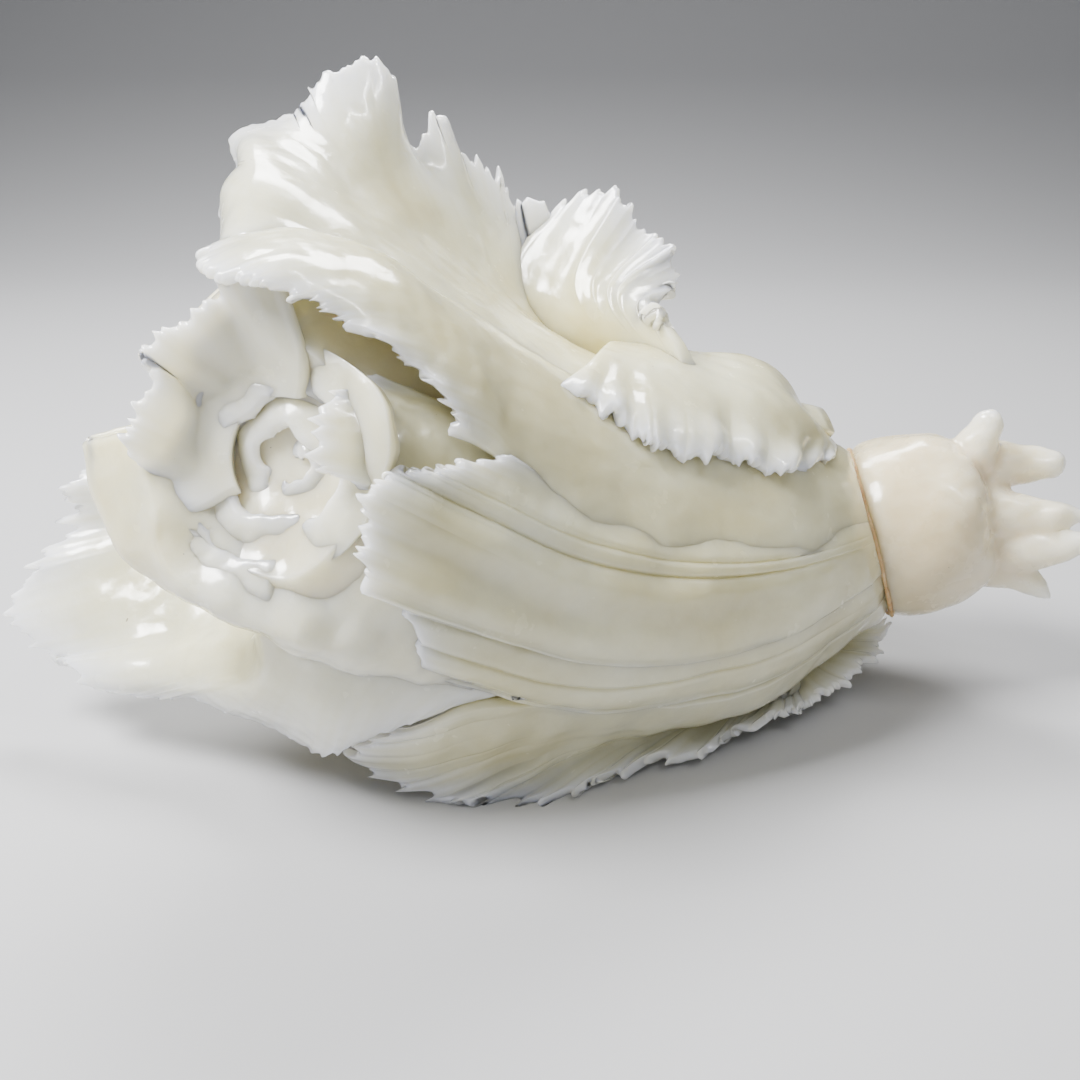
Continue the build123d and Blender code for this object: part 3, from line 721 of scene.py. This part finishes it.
ROOT_PROFILE = [
    # along the axis, radius
    (-0.3, 15.8), (0, 16.8), (1, 17.6), (3.5, 18.2), (8, 18.3), (13, 17.4), (17, 15.8), (20, 13.4),
    (22, 10), (23, 6),
]
ROOTLETS = [
    # points from base to tip, radii at base and tip
    (((84, 9, 36), (93, 8, 45), (96, 7, 52), (97, 6, 58)), 8, 1.5),
    (((84, 9, 36), (97, 9, 44), (105, 9, 46), (113.5, 8, 46.5)), 8, 2),
    (((84, 8, 33), (97, 3, 37.5), (107, 1, 38), (117, 0, 38.5)), 8.5, 0.8),
    (((84, 7, 31), (97, 3, 31.5), (107, -1, 32), (116, -4, 35)), 7.5, 1.5),
    (((84, 7, 29), (96, 4, 28), (104, 1, 26), (111.5, -2, 21.5)), 8, 1),
]
ROOT_STEPS, ROOT_AROUND = 60, 96
ROOTLET_STEPS = 40
ROOTLET_TAPER = 0.9
ROOTLET_TIP = 0.06        # share of a rootlet's length over which its tip rounds off
ROOT_VOXEL = 0.55
ROOT_SOFTENING = 12       # smoothing passes that melt the rootlets into the stump


def tube(path, radii, around=40):
    """Vertices and faces of a closed tube along a list of points."""
    path = np.asarray(path, float)
    tangents = np.gradient(path, axis=0)
    angle = np.arange(around) * 2 * math.pi / around
    rings = []
    for point, tangent, radius in zip(path, tangents, radii):
        side, up = axis_frame(tangent / np.linalg.norm(tangent))
        rings.append(point + np.cos(angle)[:, None] * side * radius + np.sin(angle)[:, None] * up * radius)
    first, last = np.arange(around), np.arange(around) + (len(path) - 1) * around
    faces = ring_faces(len(path), around).tolist() + [first.tolist(), last[::-1].tolist()]
    return np.concatenate(rings), faces


def solid_mesh(name, parts):
    """One mesh object from several closed shells."""
    mesh = bpy.data.meshes.new(name)
    vertices, faces = [], []
    for points, polygons in parts:
        shift = len(vertices)
        vertices += [tuple(p) for p in (points + DATUM) * MM]
        faces += [[i + shift for i in polygon] for polygon in polygons]
    mesh.from_pydata(vertices, [], faces)
    return link(bpy.data.objects.new(name, mesh))


def applied(obj):
    """Applies the object's modifiers to its mesh."""
    graph = bpy.context.evaluated_depsgraph_get()
    mesh = bpy.data.meshes.new_from_object(obj.evaluated_get(graph))
    obj.modifiers.clear()
    obj.data = mesh
    return obj


def root_shells():
    """The stump and the rootlets as closed tubes that run into each other."""
    along = np.linspace(0, 1, ROOT_STEPS)
    profile = hermite(np.linspace(0, 1, len(ROOT_PROFILE)), np.array(ROOT_PROFILE, float), along)
    centres = ROOT_CENTRE + (profile[:, :1] + GLUE_THICKNESS) * ROOT_AXIS
    shells = [tube(centres, np.maximum(profile[:, 1], 0.5), ROOT_AROUND)]
    for points, base, tip in ROOTLETS:
        steps = np.linspace(0, 1, ROOTLET_STEPS)
        path = hermite(np.linspace(0, 1, len(points)), np.array(points, float), steps)
        radii = tip + (base - tip) * (1 - steps) ** ROOTLET_TAPER
        closing = np.sqrt(np.clip((1 - steps) / ROOTLET_TIP, 0.02, 1))
        shells.append(tube(path, radii * closing))
    return shells


def root_stump():
    """The carved root: a round stump that splits into five tapering rootlets."""
    obj = solid_mesh("root_stump", root_shells())
    remesh = obj.modifiers.new("join", "REMESH")
    remesh.mode = "VOXEL"
    remesh.voxel_size = ROOT_VOXEL * MM * 1
    soften = obj.modifiers.new("soften", "SMOOTH")
    soften.iterations = ROOT_SOFTENING
    soften.factor = 0.6
    applied(obj)
    rng = np.random.default_rng(41)
    mesh = obj.data
    points = np.empty(len(mesh.vertices) * 3, np.float32)
    normals = np.empty_like(points)
    mesh.vertices.foreach_get("co", points)
    mesh.vertices.foreach_get("normal", normals)
    points, normals = points.reshape(-1, 3) / MM - DATUM, normals.reshape(-1, 3)
    along = (points - ROOT_CENTRE) @ ROOT_AXIS
    far = smooth(6, 24, along)
    height = 0.35 * wobble(rng, points, 9, 22) + (0.04 + 0.16 * far) * wobble(rng, points, 3, 7, 14)
    height *= smooth(0, 2, along - GLUE_THICKNESS)
    points = points + normals * height[:, None]
    mesh.vertices.foreach_set("co", ((points + DATUM) * MM).astype(np.float32).ravel())
    # Nearness to the rootlet tips, which the material paints paler: a painted glow of light through the thin
    # tips.
    tips = np.array([path[-1] for path, _, _ in ROOTLETS], float)
    tip_gap = np.linalg.norm(points[:, None, :] - tips[None], axis=-1).min(1)
    add_attribute(mesh, "thin", np.exp(-tip_gap / 9))
    mesh.polygons.foreach_set("use_smooth", np.ones(len(mesh.polygons), bool))
    mesh.update()
    return obj


# ---------------------------------------------------------------- glue

BEAD_STEPS, BEAD_AROUND = 360, 24
BEAD_HEIGHT = 0.42        # the thinnest part of the bead
BEAD_LUMPS = 0.28
BEAD_DROP = 0.9           # how much thicker it is where it has run down to the bottom of the seam
BEAD_GRAIN = 0.05
BEAD_FLATNESS = 0.75      # the bead's width along the root's axis for one of height


def glue_line():
    """The film of adhesive, with an uneven bead squeezed out round the seam."""
    rng = np.random.default_rng(51)
    angle = np.arange(BEAD_STEPS) * 2 * math.pi / BEAD_STEPS
    side, up = axis_frame(ROOT_AXIS)
    lumps = 0.5 + 0.3 * np.sin(3 * angle + 1) + 0.25 * np.sin(7 * angle) + 0.2 * np.sin(13 * angle + 2)
    from_bottom = np.mod(angle + math.pi / 2 + math.pi, 2 * math.pi) - math.pi
    drop = np.exp(-(from_bottom / 0.16) ** 2)
    bead = (BEAD_HEIGHT + BEAD_LUMPS * np.clip(lumps, 0, 1) + BEAD_DROP * drop
            + BEAD_GRAIN * rng.normal(size=BEAD_STEPS))
    middle = GLUE_RADIUS + 0.1 + 0.35 * bead
    centre = ROOT_CENTRE + GLUE_THICKNESS / 2 * ROOT_AXIS
    outward = np.cos(angle)[:, None] * side + np.sin(angle)[:, None] * up
    turn = np.arange(BEAD_AROUND) * 2 * math.pi / BEAD_AROUND
    ring = centre + outward * middle[:, None]
    points = (ring[:, None] + outward[:, None] * (bead[:, None] * np.cos(turn))[..., None]
              + ROOT_AXIS * (BEAD_FLATNESS * bead[:, None] * np.sin(turn))[..., None])
    index = np.arange(BEAD_STEPS * BEAD_AROUND).reshape(BEAD_STEPS, BEAD_AROUND)
    after = np.roll(index, -1, axis=0)
    faces = np.stack([index, after, np.roll(after, -1, axis=1), np.roll(index, -1, axis=1)], -1)
    return mesh_object("glue_line", points.reshape(-1, 3), faces.reshape(-1, 4)[:, ::-1])


# ---------------------------------------------------------------- materials

# Noise of each layer: scale per metre, detail, roughness
CLOUDS = (38, 4, 0.55)
VEINS = (120, 6, 0.65)
STAINS = (60, 5, 0.7)
SPECKS = (700, 2, 0.5)
GLOSS = (160, 3, 0.6)
CARVING = (260, 2, 0.45)
POLISH = (1500, 3, 0.6)
AMBER = (220, 4, 0.6)
GRIME = (900, 3, 0.6)

STAIN_COLOUR = (0.5, 0.32, 0.16, 1)
SPECK_COLOUR = (0.16, 0.12, 0.08, 1)
AMBER_COLOURS = (0.72, 0.52, 0.28, 1), (0.5, 0.26, 0.08, 1)
SCATTER = 0.007           # metres that light travels inside the jade


def node(tree, kind, **inputs):
    """A new shader node with its inputs set."""
    made = tree.nodes.new(kind)
    for key, value in inputs.items():
        made.inputs[key.replace("_", " ")].default_value = value
    return made


def noise(tree, coordinates, layer):
    """The noise of one layer."""
    scale, detail, roughness = layer
    made = node(tree, "ShaderNodeTexNoise", Scale=scale, Detail=detail, Roughness=roughness)
    tree.links.new(coordinates, made.inputs["Vector"])
    return made.outputs["Fac"]


def ramp(tree, value, *stops):
    """Colour ramp through (position, colour) stops."""
    made = tree.nodes.new("ShaderNodeValToRGB")
    elements = made.color_ramp.elements
    elements[0].position, elements[0].color = stops[0]
    elements[1].position, elements[1].color = stops[-1]
    for position, colour in stops[1:-1]:
        elements.new(position).color = colour
    tree.links.new(value, made.inputs["Fac"])
    return made.outputs["Color"]


def mixed(tree, factor, first, second, mode="MIX"):
    """Two colours mixed; each input is a socket or a plain value."""
    made = tree.nodes.new("ShaderNodeMix")
    made.data_type = "RGBA"
    made.blend_type = mode
    for name, value in (("Factor", factor), ("A", first), ("B", second)):
        if isinstance(value, bpy.types.NodeSocket):
            tree.links.new(value, made.inputs[name])
        else:
            made.inputs[name].default_value = value
    return made.outputs["Result"]


def bump(tree, height, strength, distance):
    """Relief of the surface, at most the distance high, in metres."""
    made = node(tree, "ShaderNodeBump", Strength=strength, Distance=distance)
    tree.links.new(height, made.inputs["Height"])
    return made


def grey(value):
    return (value, value, value, 1)


def new_material(name, **inputs):
    """A material with the given inputs of its shader set: the material, its tree and the shader."""
    material = bpy.data.materials.new(name)
    material.use_nodes = True
    tree = material.node_tree
    shader = tree.nodes["Principled BSDF"]
    for key, value in inputs.items():
        shader.inputs[key.replace("_", " ")].default_value = value
    return material, tree, shader


def jade(name, body, cloud, edge, stain=0.0, roughness=0.2):
    """Polished nephrite: milky body with clouds, thin edges painted paler as a glow of light through them,
    specks, stains and a waxy gloss.
    """
    material, tree, shader = new_material(
        name, Subsurface_Weight=1.0, Subsurface_Radius=(1.0, 0.95, 0.75), Subsurface_Scale=SCATTER,
        IOR=1.6, Coat_Weight=0.5, Coat_Roughness=0.04)
    place = tree.nodes.new("ShaderNodeTexCoord").outputs["Object"]
    thin = tree.nodes.new("ShaderNodeAttribute")
    thin.attribute_name = "thin"

    clouds = ramp(tree, noise(tree, place, CLOUDS), (0.38, grey(0)), (0.66, grey(1)))
    colour = mixed(tree, clouds, (*body, 1), (*cloud, 1))
    veins = ramp(tree, noise(tree, place, VEINS), (0.3, grey(0.93)), (0.7, grey(1.03)))
    colour = mixed(tree, 1.0, colour, veins, "MULTIPLY")
    # Painted glow: the thin edges are painted paler, standing in for light shining through the stone.
    edges = ramp(tree, thin.outputs["Fac"], (0.05, grey(0)), (0.9, grey(1)))
    colour = mixed(tree, edges, colour, (*edge, 1))
    if stain:
        patch = ramp(tree, noise(tree, place, STAINS), (0.62, grey(0)), (0.78, grey(stain)))
        colour = mixed(tree, patch, colour, STAIN_COLOUR)
    specks = ramp(tree, noise(tree, place, SPECKS), (0.79, grey(0)), (0.82, grey(0.75)))
    colour = mixed(tree, specks, colour, SPECK_COLOUR)
    tree.links.new(colour, shader.inputs["Base Color"])

    dull, glossy = grey(roughness * 1.5), grey(roughness * 0.75)
    gloss = ramp(tree, noise(tree, place, GLOSS), (0.3, glossy), (0.75, dull))
    tree.links.new(gloss, shader.inputs["Roughness"])

    carving = bump(tree, noise(tree, place, CARVING), 0.35, 0.0006)
    polish = bump(tree, noise(tree, place, POLISH), 0.12, 0.0002)
    tree.links.new(carving.outputs["Normal"], polish.inputs["Normal"])
    tree.links.new(polish.outputs["Normal"], shader.inputs["Normal"])
    return material


def adhesive(name):
    """Aged amber adhesive, glossy and slightly dirty."""
    material, tree, shader = new_material(
        name, Roughness=0.3, Subsurface_Weight=0.4, Subsurface_Radius=(1.0, 0.6, 0.3),
        Subsurface_Scale=0.001)
    place = tree.nodes.new("ShaderNodeTexCoord").outputs["Object"]
    pale, dark = AMBER_COLOURS
    colour = ramp(tree, noise(tree, place, AMBER), (0.35, pale), (0.7, dark))
    tree.links.new(colour, shader.inputs["Base Color"])
    grime = bump(tree, noise(tree, place, GRIME), 0.5, 0.0004)
    tree.links.new(grime.outputs["Normal"], shader.inputs["Normal"])
    return material


# The third colour of each jade is its edge colour, a painted glow of light through thin stone.
LEAF_JADE = jade("leaf_jade", (0.61, 0.56, 0.33), (0.74, 0.71, 0.50), (0.90, 0.91, 0.86))
# The heart's jade is lighter than the leaves': partly its own paler tone, partly painted light that
# brightens the sunken heart and core.
HEART_JADE = jade("heart_jade", (0.77, 0.69, 0.44), (0.86, 0.81, 0.61), (0.92, 0.90, 0.80), stain=0.4)
ROOT_JADE = jade("root_jade", (0.72, 0.61, 0.38), (0.82, 0.74, 0.54), (0.90, 0.86, 0.75), roughness=0.24)
ADHESIVE = adhesive("adhesive")


# ---------------------------------------------------------------- assembly

def place_piece(piece, node_name, material):
    """Gives a piece its material and lets it ride in place of its CAD node."""
    piece.data.materials.clear()
    piece.data.materials.append(material)
    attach(piece, "root")
    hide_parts(node_name)


for name, spec in LEAVES.items():
    place_piece(leaf(f"{name}_carved", **spec), name, LEAF_JADE)
for name, spec in HEART_LEAVES.items():
    place_piece(leaf(f"{name}_carved", side=-1, space=True, **spec), name, HEART_JADE)
place_piece(head_core(), "head_core", HEART_JADE)
place_piece(root_stump(), "root_stump", ROOT_JADE)
place_piece(glue_line(), "glue_line", ADHESIVE)


# ---------------------------------------------------------------- stage, in metres

FLOOR_HALF_WIDTH = 3.0
FLOOR_FRONT = -2.0
COVE_START = 0.45
COVE_RADIUS = 0.9
COVE_STEPS = 60
WALL_TOP = 3.0

LIGHTS = [
    # name, position, target, width and depth, watts
    ("key", (-0.32, -0.08, 0.48), (-0.04, 0, 0.06), (0.22, 0.22), 10),
    ("back", (-0.02, 0.34, 0.5), (-0.02, 0, 0.07), (0.4, 0.15), 6),
    ("strip", (0.22, -0.12, 0.5), (0.04, 0, 0.04), (0.02, 0.3), 1),
    ("fill", (-0.5, -0.8, 0.35), (0, 0, 0.05), (0.8, 0.6), 2),
]
WORLD_COLOUR = (0.75, 0.78, 0.82, 1)
WORLD_STRENGTH = 0.27

CAMERA_PLACE = (-0.0024, -0.1967, 0.123)
CAMERA_PITCH = 23.6          # degrees below level
CAMERA_LENS = 38.33
CAMERA_SENSOR = 36


def floor():
    """A wide pale floor that curves up into a backdrop."""
    turn = np.radians(np.linspace(0, 90, COVE_STEPS))
    cove = np.stack([COVE_START + COVE_RADIUS * np.sin(turn), COVE_RADIUS * (1 - np.cos(turn))], -1)
    steps = [(FLOOR_FRONT, 0.0), *cove.tolist(), (COVE_START + COVE_RADIUS, WALL_TOP)]
    mesh = bpy.data.meshes.new("floor")
    vertices = [(x, y, z) for y, z in steps for x in (-FLOOR_HALF_WIDTH, FLOOR_HALF_WIDTH)]
    faces = [(2 * i, 2 * i + 1, 2 * i + 3, 2 * i + 2) for i in range(len(steps) - 1)]
    mesh.from_pydata(vertices, [], faces)
    for polygon in mesh.polygons:
        polygon.use_smooth = True
    obj = link(bpy.data.objects.new("floor", mesh))
    material, _, _ = new_material("floor", Base_Color=(0.42, 0.42, 0.43, 1), Roughness=0.6)
    mesh.materials.append(material)


def soft_light(name, position, target, size, watts):
    """A rectangular studio light that faces its target."""
    data = bpy.data.lights.new(name, "AREA")
    data.shape = "RECTANGLE"
    data.size, data.size_y = size
    data.energy = watts
    obj = link(bpy.data.objects.new(name, data))
    obj.location = position
    obj.rotation_euler = (Vector(target) - Vector(position)).to_track_quat("-Z", "Y").to_euler()


floor()
for light in LIGHTS:
    soft_light(*light)

world = bpy.data.worlds.new("studio")
world.use_nodes = True
background = world.node_tree.nodes["Background"]
background.inputs["Color"].default_value = WORLD_COLOUR
background.inputs["Strength"].default_value = WORLD_STRENGTH
bpy.context.scene.world = world

camera_data = bpy.data.cameras.new("camera")
camera_data.lens = CAMERA_LENS
camera_data.sensor_width = CAMERA_SENSOR
camera_data.clip_start = 0.01
camera = link(bpy.data.objects.new("camera", camera_data))
camera.location = CAMERA_PLACE
camera.rotation_euler = (math.radians(90 - CAMERA_PITCH), 0, 0)
bpy.context.scene.camera = camera
